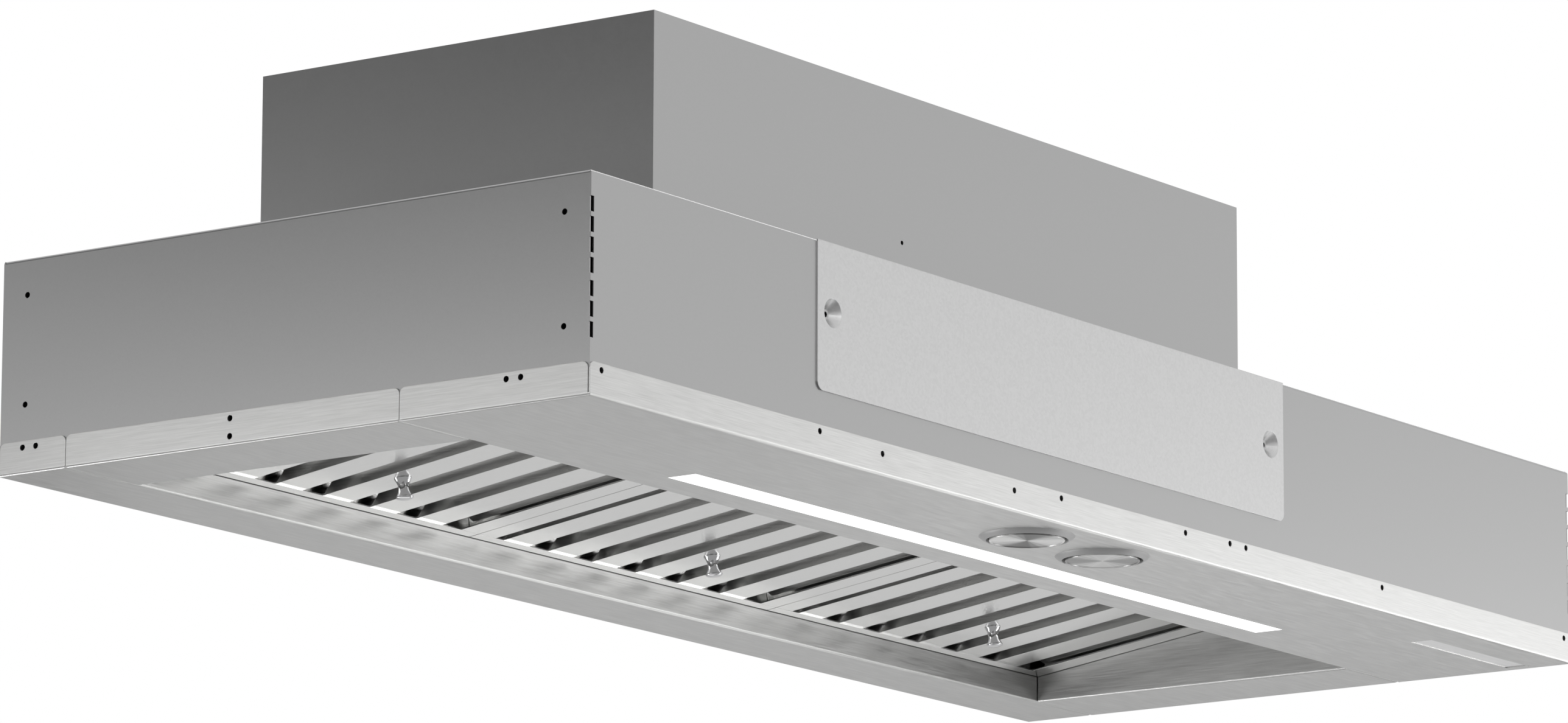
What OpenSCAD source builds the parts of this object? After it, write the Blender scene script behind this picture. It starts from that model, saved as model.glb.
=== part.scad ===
// Range hood insert: a bent-sheet underside frame, a lower housing, a top box with the blower,
// three drop-down baffle filters, a lamp strip and two pop-out controls.
// Millimetres. +Z is up and the front looks along -Y. z = 0 is the lowest point, the rims of the controls.

/* [Housing] */
// Width over the front trim
body_w = 1178; // [1100:1:1260]
// Depth over the side trims
body_d = 468; // [468:1:500]
// Height of the lower housing above the underside
lower_h = 140; // [132:1:170]
// Thickness of the housing and trim sheet
sheet_t = 1; // [0.8:0.1:1.2]
// Outside radius of a sheet bend
bend_r = 2; // [1.6:0.1:2.6]
// Width of the inward return along a panel's top edge
return_w = 14; // [10:1:20]
// Radius of a screw hole
hole_r = 2; // [1.5:0.1:2.5]

/* [Top box] */
// Width of the top box
box_w = 699; // [640:1:760]
// Depth of the top box
box_d = 321.5; // [305:0.5:330]
// Height of the top box above the lower housing
box_h = 167; // [165:1:200]
// Gap between the top box and the back panel's return flange
box_gap = 1.5; // [0.5:0.1:6]
// Width of the foot flange round the top box
box_foot = 12; // [9:1:16]

/* [Trim] */
// Height of the outer flange above the underside
flange_h = 21.5; // [19:0.5:26]
// Radius at the top corners of each flange piece
flange_r = 4.2; // [2:0.1:6]
// Depth of the front strip, to the opening
front_strip_d = 145.2; // [143:0.2:150]
// Depth of the back strip
back_strip_d = 56; // [50:0.5:64]
// Width of the left and right strips
side_strip_w = 71.7; // [60:0.1:80]
// Height of the inner wall along the back of the opening
back_wall_h = 19.3; // [16:0.1:20]
// Height of the stiffening return along each seam
seam_h = 6; // [4:0.5:9]
// Gap between neighbouring trim pieces
seam_gap = 0.4; // [0.3:0.05:0.8]
// Width of the slit between two flange pieces at a corner
slit_w = 0.8; // [0.5:0.1:1.2]

/* [Filters] */
// Tilt of the filters, front edge high
filter_tilt = 8; // [6:0.5:9]
// Thickness of a filter
filter_t = 14; // [13:0.5:16]
// Width of the side members of a filter
filter_side_w = 18.5; // [14:0.5:20]
// Width of the back band of a filter
filter_band_w = 7.6; // [6:0.2:10]
// Width of the front member of a filter
filter_front_w = 20; // [18:0.5:24]
// Width of one lower baffle
strip_w = 28; // [24:0.5:30]
// Width of the slot beside the left member
first_slot_w = 12; // [9:0.5:14]
// Width of the slot beside the right member
last_slot_w = 18.4; // [16:0.2:20]
// Sheet thickness of the filter parts
filter_sheet_t = 1; // [0.8:0.1:1.2]
// Depth of the baffle channels
baffle_h = 8; // [7:0.5:9]
// How far the upper baffles reach over the lower ones
baffle_lap = 6; // [5:0.5:7]
// Distance from the back edge of a filter to its pull handle
handle_set = 61.5; // [50:0.5:80]
// Length of a pull handle
handle_h = 14.5; // [12:0.5:16]
// Radius of a pull handle at its free end
handle_r = 5.8; // [5:0.1:6.5]
// Radius of a pull handle at its waist
handle_waist_r = 3.7; // [3:0.1:4.4]

/* [Controls] */
// Radius of a control's face
knob_r = 25; // [22:0.5:27]
// Outer radius of a control's bezel
bezel_r = 31.8; // [29.5:0.1:34]
// How far a bezel's rim stands below the underside
bezel_proud = 3; // [2.4:0.1:4.5]
// How far a control's face stands below the underside when it is pushed in
knob_proud = 3.4; // [2.4:0.1:4.5]
// Distance between the two controls
control_pitch = 90.5; // [80:0.5:100]
// Sideways place of the pair of controls
control_mid_x = -6; // [-12:0.5:12]
// Distance from the front face to the middle of a control
control_y = 42.5; // [40:0.5:50]
// Travel of a control as it pops out
knob_travel = 12; // [8:0.5:12]

/* [Lamp and badge] */
// Length of the lamp window
lamp_w = 699; // [500:1:760]
// Depth of the lamp window
lamp_d = 22.2; // [18:0.2:26]
// Distance from the front face to the lamp window
lamp_set = 94.9; // [88:0.2:100]
// Length of the bare badge plate
badge_w = 132; // [60:1:160]
// Depth of the bare badge plate
badge_d = 16.5; // [10:0.5:20]
// Distance from the right end to the badge plate
badge_end = 12.5; // [8:0.5:40]
// Distance from the front face to the badge plate
badge_set = 31; // [20:0.5:36]

/* [Access cover] */
// Width of the access cover
cover_w = 551; // [520:1:600]
// Distance from the left end to the access cover
cover_end = 238; // [220:1:260]
// Height of the cover's lower edge above the underside
cover_low = 43.7; // [34:0.1:50]
// Thickness of the cover
cover_t = 1; // [0.8:0.1:1.6]
// Radius of the cover's lower corners
cover_r = 5.6; // [3:0.2:9]
// Radius of a screw dimple in the cover
dimple_r = 9.5; // [8:0.1:11]
// Depth of a screw dimple
dimple_h = 5.7; // [4:0.1:6.5]

/* [Blower and outlet] */
// Radius of the blower wheel
wheel_r = 75; // [70:0.5:78]
// Width of the blower wheel
wheel_w = 210; // [180:1:220]
// Blades round the wheel
blade_n = 36; // [24:1:42]
// Outer radius of the outlet collar
collar_r = 101; // [96:0.5:102]
// Height of the outlet collar above the top box
collar_h = 16; // [14:0.5:20]

/* [Hidden] */

// overrun for cuts, and the number of sides that a drawn circle has
over = 1;
round_fn = 72;
// gap between a moving piece and what it passes, and between a loose piece and its seat
move_gap = 0.5;
seat_gap = 0.3;
// radial clearance of a shaft that turns or slides in its bore
run_gap = 0.05;

// levels
underside_z = max(bezel_proud, knob_proud);
floor_z = underside_z + sheet_t;
panel_z = underside_z + bend_r + seat_gap;
lower_top_z = underside_z + lower_h;
deck_z = lower_top_z - 2 * sheet_t;
box_top_z = lower_top_z + box_h;

// the opening of the underside
front_y = -body_d / 2;
back_y = body_d / 2;
half_w = body_w / 2;
opening_x = half_w - side_strip_w;
opening_y0 = front_y + front_strip_d;
opening_y1 = back_y - back_strip_d;
opening_d = opening_y1 - opening_y0;
front_wall_h = back_wall_h + opening_d * tan(filter_tilt);

// the lower housing's panels stand inside the flanges
panel_x = half_w - sheet_t;
panel_y = body_d / 2 - sheet_t;
deck_x = panel_x - bend_r - seat_gap;
deck_y = panel_y - bend_r - seat_gap;

// the top box
box_x = box_w / 2;
box_y1 = back_y - sheet_t - return_w - box_gap;
box_y0 = box_y1 - box_d;
box_len = box_y1 - box_y0;
box_mid_y = (box_y0 + box_y1) / 2;
// the wall between the filters' air space and the wiring stands this far before the opening
plenum_set = 14.2;
plenum_y = opening_y0 - sheet_t - plenum_set;

// holes in the front and back flanges: place along the width, and height, as shares
front_hole_shares = [[0.0098, 0.8], [0.2043, 0.8], [0.2628, 0.64], [0.39, 0.64], [0.4368, 0.8],
    [0.5642, 0.8], [0.6112, 0.85], [0.6282, 0.85], [0.778, 0.8], [0.9902, 0.8]];
// holes in the side flanges: place along the depth, and height, as shares
side_hole_shares = [[0.1122, 0.8], [0.1357, 0.8], [0.5957, 0.8], [0.5957, 0.27], [0.9331, 0.8],
    [0.9564, 0.8]];

// holes that fasten the housing through its sides
side_fix_set = 21;
side_fix_low = 45;
side_fix_pitch = 71;
box_hole_r = 1.5;
box_hole_x = -69;
box_hole_up = 65;

// slots along the bend at the housing's front corners
corner_slot_w = 3;
corner_slot_h = 9.8;
corner_slot_pitch = 12.7;
corner_slot_low = 36.1;
corner_slot_bridge = 1.6;
corner_slot_low_n = 3;
corner_slot_n = 7;

// windows behind the access cover
window_n = 4;
window_w = 104;
window_h = 60;
window_up = 18;
dimple_in = 16.5;
dimple_up = 51.2;
dimple_flat_r = 3.2;
dimple_hole_r = 1.75;

// filters: three side by side
filter_n = 3;
filter_gap = 0.8;
filter_w = (2 * opening_x - (filter_n + 1) * filter_gap) / filter_n;
filter_pivot_u = 8;
filter_front_gap = 3.4;
filter_pivot_set = filter_pivot_u + filter_front_gap;
filter_sink = 0.1;
filter_back_gap = 1;
pivot_y = opening_y0 + filter_pivot_set;
pivot_z = underside_z + back_wall_h - filter_sink
    + (filter_t / 2 + (opening_y1 - pivot_y) * sin(filter_tilt)) / cos(filter_tilt);
filter_len = filter_pivot_u
    + (opening_y1 - filter_back_gap - pivot_y + filter_t / 2 * sin(filter_tilt)) / cos(filter_tilt);
strip_n = 6;
slot_w = (filter_w - 2 * filter_side_w - first_slot_w - last_slot_w - strip_n * strip_w) / (strip_n - 1);
strip_x0 = filter_side_w + first_slot_w;
strip_pitch = strip_w + slot_w;
baffle_u0 = filter_front_w - 3 * filter_sheet_t;
baffle_len = filter_len - 2 * filter_sheet_t - baffle_u0;
handle_strip = 3;
handle_neck_share = 0.52;
handle_lip_h = 1.6;
handle_stud_r = 2;
handle_nut_r = 4;
handle_nut_h = 3;

// hinge at the front edge of each filter
hinge_shares = [0.2, 0.8];
hinge_pin_r = 2.5;
ear_w = 8;
ear_r = 5;
ear_gap = 2;
cheek_t = 1.5;
notch_w = ear_w + 2 * ear_gap;
notch_d = filter_pivot_u + ear_r + ear_gap;
rail_drop = 18;
rail_top_z = pivot_z + ear_r;
wall_top_z = underside_z + front_wall_h;

// spring catches at the back edge of each filter
catch_shares = [0.25, 0.75];
catch_w = 14;
catch_t = 0.8;
catch_low = 6;
catch_nose_h = 3.4;

// lamp
lamp_flange = 4;
lamp_flange_t = 2;
lamp_gap = 0.3;
lamp_channel_h = 16;
lamp_board_t = 1.6;
lamp_chip_w = 5;
lamp_chip_t = 1.2;
lamp_chip_n = 24;
lamp_chip_pitch = lamp_w / lamp_chip_n;
driver_size = [160, 42, 30];
driver_x = 140;
driver_set = 14;
driver_y = front_y + driver_set;

// badge
badge_t = 0.8;
badge_lip = 1.2;
badge_sink = 0.5;
badge_fit = 0.1;
badge_x0 = half_w - badge_end - badge_w;
badge_y0 = front_y + badge_set;
// small hole beside the badge's front corner
badge_hole_r = 0.7;
badge_hole_out = 2;
badge_hole_lead = 0.5;

// controls
control_x = [control_mid_x - control_pitch / 2, control_mid_x + control_pitch / 2];
control_row_y = front_y + control_y;
bezel_bore_r = knob_r + move_gap;
bezel_rim_w = 1.6;
bezel_rim_r = bezel_bore_r + bezel_rim_w;
bezel_tube_r = bezel_bore_r + 2 * sheet_t;
bezel_tube_h = 18;
bezel_hole_r = bezel_tube_r + seat_gap;
knob_z = underside_z - knob_proud;
bezel_z = underside_z - bezel_proud;
knob_face_t = 3;
knob_wall = 2.4;
knob_skirt_h = 13;
knob_boss_r = 6;
knob_edge = 0.8;
knob_floor = 1.2;
plunger_r = 3;
switch_w = 26;
switch_h = 20;
switch_up = 23;
switch_z = underside_z + switch_up;
plunger_top_z = switch_z + switch_h - sheet_t;
board_size = [170, 56];
board_t = 1.6;
post_r = 3;
post_in = 6;

// terminal box under the deck
terminal_size = [110, 70, 60];
terminal_x = -268;
terminal_set = 8;
terminal_y = front_y + terminal_set;
inlet_r = 11.1;
inlet_in = 25;
terminal_lip = 8;
capacitor_r = 20;
capacitor_len = 75;
capacitor_x = -185;
capacitor_drop = 24;
capacitor_foot = 12;

// blower
wheel_set = 18;
wheel_drop = 120;
wheel_y = box_mid_y - wheel_set;
wheel_z = box_top_z - wheel_drop;
wheel_ring_t = 2;
wheel_ring_w = 17;
wheel_disc_t = 2;
blade_t = 1;
blade_pitch = 28;
blade_in_r = 58.5;
blade_len = 15;
hub_r = 12;
hub_len = 20;
shaft_r = 4;
shaft_back = 40;
motor_r = 42;
motor_gap = 12;
cheek_gap = 10;
scroll_x = wheel_w / 2 + cheek_gap;
motor_len = scroll_x - motor_gap;
hub_x0 = -motor_gap / 2;
shaft_x0 = -motor_gap - shaft_back;
shaft_x1 = hub_x0 + hub_len - sheet_t;
scroll_r0 = 83;
scroll_r1 = 118;
scroll_cut_a = 122;
scroll_step_n = 34;
scroll_tongue = 1.5;
throat_front = 82;
scroll_top = box_top_z - sheet_t - move_gap - wheel_z;
inlet_hole_r = 58;
arm_n = 3;
arm_w = 12;
arm_reach = 72;
bracket_r = 26;
bracket_t = 2.4;

// outlet collar and damper
collar_t = 1.5;
collar_foot = 17;
outlet_r = collar_r - 3;
damper_up = 8;
damper_z = box_top_z + damper_up;
damper_pin_r = 2.5;
damper_sleeve_r = 4;
damper_t = 0.8;
damper_r = collar_r - collar_t - 2;
damper_lip_r = damper_r - 4;
damper_edge = damper_sleeve_r + 2 * seat_gap;
sleeve_shares = [-0.8, -0.4, 0, 0.4, 0.8];
sleeve_w = 18;
sleeve_relief = 1;
pin_hole_r = damper_pin_r + seat_gap;
pin_boss_w = 3;

screw_head_r = 3.6;
screw_head_h = 2;
screw_long_n = 7;
screw_short_n = 4;

// ---- shared shapes

// removes the square corner at the origin outside a quarter circle, with an overrun of o
module corner_cut(r, o) {
    difference() {
        translate([-o, -o]) square(r + o);
        translate([r, r]) circle(r, $fn = round_fn);
    }
}

// a rectangle whose lower corners are round where there is a wall
module bend_outline(len, h, r, low, high) {
    difference() {
        square([len, h]);
        if (low) corner_cut(r, over);
        if (high) translate([len, 0]) mirror([1, 0]) corner_cut(r, over);
    }
}

// the hollow inside bend_outline, left open on a side that has no wall
module bend_hollow(len, h, low, high) {
    lo = low ? sheet_t : -over;
    hi = high ? sheet_t : -over;
    translate([lo, sheet_t]) bend_outline(len - lo - hi, h, bend_r - sheet_t, low, high);
}

// draws a 2D shape with its x along X and its y along Z, from y = 0 to y = d
module across_y(d) {
    translate([0, d, 0]) rotate([90, 0, 0]) linear_extrude(d) children();
}

// draws a 2D shape with its x along Y and its y along Z, from x = 0 to x = w
module across_x(w) {
    rotate([90, 0, 90]) linear_extrude(w) children();
}

// bent sheet tray, open at the top; walls = [low x, high x, low y, high y]
module tray(w, d, h, walls) {
    difference() {
        intersection() {
            across_y(d) bend_outline(w, h, bend_r, walls[0], walls[1]);
            across_x(w) bend_outline(d, h, bend_r, walls[2], walls[3]);
        }
        intersection() {
            translate([0, -over, 0]) across_y(d + 2 * over) bend_hollow(w, h, walls[0], walls[1]);
            translate([-over, 0, 0]) across_x(w + 2 * over) bend_hollow(d, h, walls[2], walls[3]);
        }
    }
}

// cuts the two top corners of a plate that spans a to b and ends at height h
module top_corners(a, b, h, r) {
    translate([b, h]) rotate(180) corner_cut(r, slit_w / 2);
    translate([a, h]) mirror([0, 1]) corner_cut(r, slit_w / 2);
}

// flat sheet standing on its edge, facing -Y, with a return bent back along the top
module panel_sheet(len, h, ret) {
    across_x(len) translate([0, h]) mirror([0, 1]) difference() {
        bend_outline(ret, h, bend_r, true, false);
        bend_hollow(ret, h, true, false);
    }
}

// a screw hole along Y through everything between y0 and y1
module hole_y(x, z, r, y0, y1) {
    translate([x, y1, z]) rotate([90, 0, 0]) cylinder(r = r, h = y1 - y0, $fn = round_fn);
}

// a screw hole along X
module hole_x(y, z, r, x0, x1) {
    translate([x0, y, z]) rotate([0, 90, 0]) cylinder(r = r, h = x1 - x0, $fn = round_fn);
}

// ---- underside trim

module front_flange_holes() {
    for (s = front_hole_shares)
        hole_y(-half_w + s[0] * body_w, underside_z + s[1] * flange_h, hole_r, front_y - over,
            front_y + 2 * sheet_t + over);
}

module side_flange_holes() {
    for (s = side_hole_shares)
        hole_x(front_y + s[0] * body_d, underside_z + s[1] * flange_h, hole_r, -half_w - over,
            -half_w + 2 * sheet_t + over);
}

// slit and rounded corners where the long flange meets an end flange, drawn at the left end
module end_flange_cuts(d) {
    translate([-over, sheet_t, bend_r]) cube([sheet_t + over, slit_w, flange_h + over]);
    translate([-over, 0, 0]) across_x(sheet_t + over)
        top_corners(sheet_t + slit_w, d, flange_h, flange_r);
}

// rounds the top corners of a long flange that faces -Y
module long_flange_corners() {
    translate([0, -over, 0]) across_y(sheet_t + over + slit_w / 2)
        top_corners(0, body_w, flange_h, flange_r);
}

module front_trim() {
    h = front_wall_h;
    end_x = side_strip_w + seam_gap;
    color("gainsboro") difference() {
        translate([-half_w, front_y, underside_z]) difference() {
            tray(body_w, front_strip_d, h, [true, true, true, true]);
            translate([-over, -over, flange_h])
                cube([body_w + 2 * over, front_strip_d - sheet_t + over, h]);
            for (x = [-over, body_w - end_x])
                translate([x, front_strip_d - sheet_t - over, flange_h])
                    cube([end_x + over, sheet_t + 2 * over, h]);
            for (x = [sheet_t, body_w - end_x])
                translate([x, front_strip_d - sheet_t - over, seam_h])
                    cube([end_x - sheet_t, sheet_t + 2 * over, h]);
            end_flange_cuts(front_strip_d);
            translate([body_w, 0, 0]) mirror([1, 0, 0]) end_flange_cuts(front_strip_d);
            long_flange_corners();
            translate([(body_w - lamp_w) / 2, lamp_set, -over])
                cube([lamp_w, lamp_d, sheet_t + 2 * over]);
        }
        front_flange_holes();
        side_flange_holes();
        mirror([1, 0, 0]) side_flange_holes();
        for (x = control_x)
            translate([x, control_row_y, 0])
                cylinder(r = bezel_hole_r, h = floor_z + over, $fn = round_fn);
        translate([badge_x0, badge_y0, 0]) cube([badge_w, badge_d, floor_z + over]);
        translate([badge_x0 + badge_w + badge_hole_out, badge_y0 - badge_hole_lead, 0])
            cylinder(r = badge_hole_r, h = floor_z + over, $fn = round_fn);
    }
}

module back_trim() {
    end_x = side_strip_w + seam_gap;
    color("gainsboro") difference() {
        translate([-half_w, back_y, underside_z]) mirror([0, 1, 0]) difference() {
            tray(body_w, back_strip_d, flange_h, [true, true, true, true]);
            translate([end_x, back_strip_d - sheet_t - over, back_wall_h])
                cube([body_w - 2 * end_x, sheet_t + 2 * over, flange_h]);
            for (x = [sheet_t, body_w - end_x])
                translate([x, back_strip_d - sheet_t - over, seam_h])
                    cube([end_x - sheet_t, sheet_t + 2 * over, flange_h]);
            end_flange_cuts(back_strip_d);
            translate([body_w, 0, 0]) mirror([1, 0, 0]) end_flange_cuts(back_strip_d);
            long_flange_corners();
        }
        mirror([0, 1, 0]) front_flange_holes();
        side_flange_holes();
        mirror([1, 0, 0]) side_flange_holes();
    }
}

module left_trim() {
    d = opening_d - 2 * seam_gap;
    slope = tan(filter_tilt);
    color("gainsboro") difference() {
        translate([-half_w, opening_y0 + seam_gap, underside_z]) difference() {
            tray(side_strip_w, d, front_wall_h, [true, true, true, true]);
            translate([-over, -over, flange_h])
                cube([side_strip_w - sheet_t + over, d + 2 * over, front_wall_h]);
            for (y = [-over, d - sheet_t])
                translate([sheet_t, y, seam_h])
                    cube([side_strip_w - 2 * sheet_t, sheet_t + over, front_wall_h]);
            translate([side_strip_w - sheet_t - over, 0, 0]) across_x(sheet_t + 2 * over) polygon([
                [-over, front_wall_h + over * slope], [d + over, back_wall_h - over * slope],
                [d + over, front_wall_h + over], [-over, front_wall_h + over]]);
            translate([-over, 0, 0]) across_x(sheet_t + 2 * over) top_corners(0, d, flange_h, flange_r);
        }
        side_flange_holes();
    }
}

module right_trim() {
    mirror([1, 0, 0]) left_trim();
}

// ---- lower housing

// clears the ends of a front return for the side panels
module return_end_cuts() {
    for (x = [-panel_x - over, panel_x - bend_r - seat_gap])
        translate([x, -panel_y + sheet_t, lower_top_z - bend_r])
            cube([bend_r + seat_gap + over, return_w + over, bend_r + over]);
}

// slots along the bend at a front corner, drawn at the left end
module corner_slots() {
    for (i = [0:corner_slot_n - 1])
        translate([-panel_x - over, front_y, underside_z + corner_slot_low + i * corner_slot_pitch
            + (i < corner_slot_low_n ? 0 : corner_slot_bridge)])
            cube([corner_slot_w + over, 2 * sheet_t + over, corner_slot_h]);
}

module front_panel() {
    window_x0 = -half_w + cover_end + 2 * dimple_in;
    window_room = cover_w - 4 * dimple_in;
    window_step = window_w + (window_room - window_n * window_w) / (window_n - 1);
    color("silver") difference() {
        translate([-panel_x, -panel_y, panel_z])
            panel_sheet(2 * panel_x, lower_top_z - panel_z, return_w);
        return_end_cuts();
        front_flange_holes();
        corner_slots();
        mirror([1, 0, 0]) corner_slots();
        for (x = [cover_end + dimple_in, cover_end + cover_w - dimple_in])
            hole_y(-half_w + x, underside_z + cover_low + dimple_up, dimple_r + cover_t + move_gap,
                front_y - over, front_y + 2 * sheet_t + over);
        for (i = [0:window_n - 1])
            translate([window_x0 + i * window_step, front_y, underside_z + cover_low + window_up])
                cube([window_w, 2 * sheet_t + over, window_h]);
    }
}

module back_panel() {
    color("silver") difference() {
        mirror([0, 1, 0]) translate([-panel_x, -panel_y, panel_z])
            panel_sheet(2 * panel_x, lower_top_z - panel_z, return_w);
        mirror([0, 1, 0]) return_end_cuts();
        mirror([0, 1, 0]) front_flange_holes();
    }
}

module left_panel() {
    len = 2 * (panel_y - sheet_t);
    color("darkgray") difference() {
        translate([-panel_x, len / 2, panel_z]) rotate(-90)
            panel_sheet(len, lower_top_z - panel_z, return_w);
        for (y = [-len / 2 - over, len / 2 - return_w + sheet_t - seat_gap])
            translate([-panel_x + bend_r, y, lower_top_z - bend_r])
                cube([return_w, return_w - sheet_t + seat_gap + over, bend_r + over]);
        side_flange_holes();
        for (y = [front_y + side_fix_set, back_y - side_fix_set])
            for (z = [side_fix_low, side_fix_low + side_fix_pitch])
                hole_x(y, underside_z + z, hole_r, -half_w, -half_w + 2 * sheet_t + over);
    }
}

module right_panel() {
    mirror([1, 0, 0]) left_panel();
}

module deck_front() {
    color("silver") difference() {
        translate([-deck_x, -deck_y, deck_z])
            cube([2 * deck_x, box_y0 + sheet_t + deck_y, sheet_t]);
        translate([terminal_x, terminal_y + inlet_in, deck_z - over])
            cylinder(r = inlet_r, h = sheet_t + 2 * over, $fn = round_fn);
    }
}

module deck_back() {
    color("silver") translate([-deck_x, box_y1 - sheet_t, deck_z])
        cube([2 * deck_x, deck_y - box_y1 + sheet_t, sheet_t]);
}

module deck_left() {
    color("silver") translate([-deck_x, box_y0 + sheet_t, deck_z])
        cube([deck_x - box_x + sheet_t, box_len - 2 * sheet_t, sheet_t]);
}

module deck_right() {
    mirror([1, 0, 0]) deck_left();
}

module access_cover() {
    color("lightgray") {
        translate([-half_w + cover_end, -panel_y - cover_t, underside_z + cover_low]) {
            difference() {
                across_y(cover_t) difference() {
                    square([cover_w, lower_h - cover_low]);
                    corner_cut(cover_r, over);
                    translate([cover_w, 0]) mirror([1, 0]) corner_cut(cover_r, over);
                }
                for (x = [dimple_in, cover_w - dimple_in])
                    hole_y(x, dimple_up, dimple_r + cover_t / 2, -over, cover_t + over);
            }
            for (x = [dimple_in, cover_w - dimple_in])
                translate([x, 0, dimple_up]) rotate([-90, 0, 0])
                    rotate_extrude($fn = round_fn) polygon([
                        [dimple_hole_r, dimple_h], [dimple_flat_r, dimple_h], [dimple_r, 0],
                        [dimple_r + cover_t, 0], [dimple_r + cover_t, cover_t],
                        [dimple_flat_r + cover_t, dimple_h + cover_t],
                        [dimple_hole_r, dimple_h + cover_t]]);
        }
    }
}

// sheet between the wiring space behind the front panel and the air space
module plenum_wall() {
    color("silver") translate([-deck_x, plenum_y, rail_top_z + sheet_t])
        cube([2 * deck_x, sheet_t, deck_z - rail_top_z - sheet_t]);
}

// ---- top box

// one wall of the top box, facing -Y, with a foot flange in front of it
module box_wall(len) {
    across_x(len) union() {
        square([sheet_t, box_h + sheet_t]);
        translate([-box_foot, 0]) square([box_foot + sheet_t, sheet_t]);
    }
}

module box_front() {
    color("silver") difference() {
        translate([-box_x, box_y0, lower_top_z - sheet_t]) box_wall(box_w);
        hole_y(box_hole_x, lower_top_z + box_hole_up, box_hole_r, box_y0 - over,
            box_y0 + sheet_t + over);
    }
}

module box_back() {
    color("silver") translate([-box_x, box_y1 - sheet_t, lower_top_z - sheet_t])
        cube([box_w, sheet_t, box_h + sheet_t]);
}

module box_left() {
    d = box_len - 2 * sheet_t;
    color("dimgray") translate([-box_x, box_y1 - sheet_t, lower_top_z - sheet_t]) rotate(-90)
        box_wall(d);
}

module box_right() {
    mirror([1, 0, 0]) box_left();
}

module box_top() {
    w = box_w - 2 * sheet_t;
    d = box_len - 2 * sheet_t;
    color("silver") difference() {
        translate([-w / 2, box_y0 + sheet_t, box_top_z]) mirror([0, 0, 1])
            tray(w, d, return_w, [true, true, true, true]);
        translate([0, box_mid_y, box_top_z - return_w])
            cylinder(r = outlet_r, h = return_w + over, $fn = round_fn);
    }
}

module box_screws() {
    z = lower_top_z;
    long_step = (box_w - 2 * return_w) / (screw_long_n - 1);
    short_step = (box_len - 2 * return_w) / (screw_short_n - 1);
    color("gray") {
        for (i = [0:screw_long_n - 1])
            translate([-box_x + return_w + i * long_step, box_y0 - box_foot / 2, z])
                cylinder(r = screw_head_r, h = screw_head_h, $fn = round_fn);
        for (i = [0:screw_short_n - 1])
            for (x = [-box_x - box_foot / 2, box_x + box_foot / 2])
                translate([x, box_y0 + return_w + i * short_step, z])
                    cylinder(r = screw_head_r, h = screw_head_h, $fn = round_fn);
    }
}

// ---- filter hinge rail and catches

// a bored ear about the filter pivot, drawn from x = 0 to x = ear_w
module hinge_ear() {
    reach = pivot_y - opening_y0 + sheet_t;
    difference() {
        union() {
            hole_x(pivot_y, pivot_z, ear_r, 0, ear_w);
            translate([0, pivot_y - reach, pivot_z - ear_r + sheet_t])
                cube([ear_w, reach, 2 * ear_r - sheet_t]);
        }
        hole_x(pivot_y, pivot_z, hinge_pin_r + run_gap, -over, ear_w + over);
    }
}

function filter_x(i) = -opening_x + filter_gap + i * (filter_w + filter_gap);

module filter_rail() {
    color("silver") union() {
        translate([-opening_x + seat_gap, opening_y0 - 2 * sheet_t, wall_top_z - rail_drop])
            cube([2 * (opening_x - seat_gap), sheet_t, rail_top_z - wall_top_z + rail_drop]);
        translate([-opening_x + seat_gap, plenum_y, rail_top_z])
            cube([2 * (opening_x - seat_gap), plenum_set, sheet_t]);
        for (i = [0:filter_n - 1])
            for (s = hinge_shares)
                translate([filter_x(i) + s * filter_w - ear_w / 2, 0, 0]) hinge_ear();
    }
}

module filter_catches() {
    h = back_wall_h + filter_t - catch_low;
    color("silver") for (i = [0:filter_n - 1])
        for (s = catch_shares)
            translate([filter_x(i) + s * filter_w - catch_w / 2, opening_y1 + sheet_t,
                underside_z + catch_low]) union() {
                cube([catch_w, catch_t, back_wall_h - catch_low - seat_gap]);
                translate([0, catch_t, 0]) cube([catch_w, catch_t, h]);
                translate([0, catch_nose_h / 2 + seat_gap, h]) rotate([0, 90, 0])
                    cylinder(r = catch_nose_h / 2, h = catch_w, $fn = round_fn);
            }
}

// ---- filters, drawn flat with the hinge edge at y = 0, then turned about the pivot

module place_filter(i) {
    translate([filter_x(i), pivot_y, pivot_z]) rotate([-filter_tilt, 0, 0])
        translate([0, -filter_pivot_u, -filter_t / 2]) children();
}

// straight C channel along X that opens toward +Y
module channel(len, w, h) {
    t = filter_sheet_t;
    across_x(len) difference() {
        square([w, h]);
        translate([t, t]) square([w, h - 2 * t]);
    }
}

module filter_frame(i) {
    side_len = filter_len - filter_front_w - filter_band_w - 2 * seat_gap;
    color("whitesmoke") place_filter(i) {
        difference() {
            union() {
                channel(filter_w, filter_front_w, filter_t);
                for (s = hinge_shares)
                    translate([s * filter_w - notch_w / 2 - cheek_t, 0, 0])
                        cube([notch_w + 2 * cheek_t, notch_d + cheek_t, filter_t]);
            }
            for (s = hinge_shares)
                translate([s * filter_w - notch_w / 2, -over, -over])
                    cube([notch_w, notch_d + over, filter_t + 2 * over]);
        }
        for (s = hinge_shares)
            translate([s * filter_w, 0, 0])
                hole_x(filter_pivot_u, filter_t / 2, hinge_pin_r, -notch_w / 2 - cheek_t / 2,
                    notch_w / 2 + cheek_t / 2);
        translate([filter_w, filter_len, 0]) rotate(180) channel(filter_w, filter_band_w, filter_t);
        translate([0, filter_front_w + seat_gap + side_len, 0]) rotate(-90)
            channel(side_len, filter_side_w, filter_t);
        translate([filter_w, filter_front_w + seat_gap, 0]) rotate(90)
            channel(side_len, filter_side_w, filter_t);
    }
}

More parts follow.
